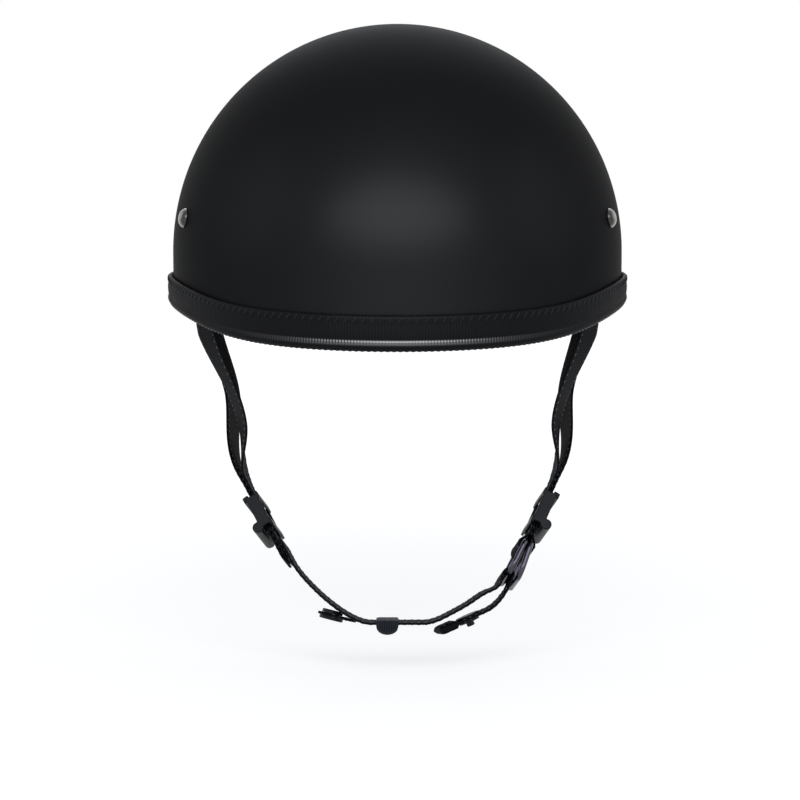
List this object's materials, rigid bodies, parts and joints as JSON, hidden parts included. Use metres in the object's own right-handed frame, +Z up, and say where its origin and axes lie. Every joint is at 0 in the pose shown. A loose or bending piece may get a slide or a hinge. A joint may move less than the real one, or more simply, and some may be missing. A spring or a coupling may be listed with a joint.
{
  "type": "half shell motorcycle helmet",
  "caption": "Half shell motorcycle helmet with edge trim, foam liner, comfort padding and a riveted webbing chin harness closed by paired rings.",
  "frame": {"origin": "middle of the head opening, level with the trim's lowest point in front", "axes": "-Y to the front, +X to the wearer's left, +Z up"},
  "size_m": [0.235, 0.281, 0.3056],
  "materials": {
    "shell_plastic": "matt black paint on a moulded shell",
    "trim_hide": "ribbed dark trim with stitching",
    "liner_foam": "moulded bead foam, black",
    "pad_cloth": "brushed knit over soft foam",
    "webbing": "ribbed woven webbing",
    "keeper_elastic": "ribbed elastic",
    "slider_plastic": "satin moulded plastic",
    "rivet_metal": "bright plate",
    "ring_metal": "dark satin plate",
    "washer_metal": "plain steel",
    "snap_metal": "black enamel on brass"
  },
  "bodies": {
    "helmet": {"shell": "shell_plastic", "edge_trim": "trim_hide", "impact_liner": "liner_foam", "brow_band": "pad_cloth", "nape_band": "pad_cloth", "left_side_pad": "pad_cloth", "right_side_pad": "pad_cloth", "crown_pad": "pad_cloth", "rivets": "rivet_metal", "rivet_washers": "washer_metal", "right_front_strap": "webbing", "right_rear_strap": "webbing", "left_strap": "webbing", "chin_strap": "webbing", "inner_ring": "ring_metal"},
    "right_slider_body": {"right_slider": "slider_plastic"},
    "left_slider_body": {"left_slider": "slider_plastic"},
    "outer_ring_body": {"outer_ring": "ring_metal"},
    "keeper_body": {"keeper_band": "keeper_elastic"},
    "tail_body": {"strap_tail": "webbing", "snap_stud": "snap_metal", "snap_post": "snap_metal"},
    "tab_body": {"snap_tab": "webbing", "snap_cap": "snap_metal", "snap_socket": "snap_metal"}
  },
  "joints": [
    {"name": "right_slider_travel", "type": "slide", "parent": "helmet", "child": "right_slider_body", "axis": [0.4505, -0.4505, -0.7708], "range_m": [-0.005, 0.006]},
    {"name": "left_slider_travel", "type": "slide", "parent": "helmet", "child": "left_slider_body", "axis": [-0.4015, -0.4216, -0.8131], "range_m": [-0.005, 0.003]},
    {"name": "outer_ring_lift", "type": "hinge", "parent": "helmet", "child": "outer_ring_body", "pos_m": [0.06473, -0.05072, -0.1095], "axis": [0.1353, -0.9053, 0.4026], "range_deg": [0, 80]},
    {"name": "keeper_travel", "type": "slide", "parent": "helmet", "child": "keeper_body", "axis": [1, 0, 0], "range_m": [-0.002, 0.012]},
    {"name": "tail_flex", "type": "hinge", "parent": "helmet", "child": "tail_body", "pos_m": [0.05485, -0.05993, -0.1269], "axis": [0.1353, -0.9053, 0.4026], "range_deg": [0, 30]},
    {"name": "snap_tab_flex", "type": "hinge", "parent": "helmet", "child": "tab_body", "pos_m": [-0.02231, -0.06914, -0.14189], "axis": [-0.1746, -0.9588, 0.2243], "range_deg": [0, 50]}
  ]
}
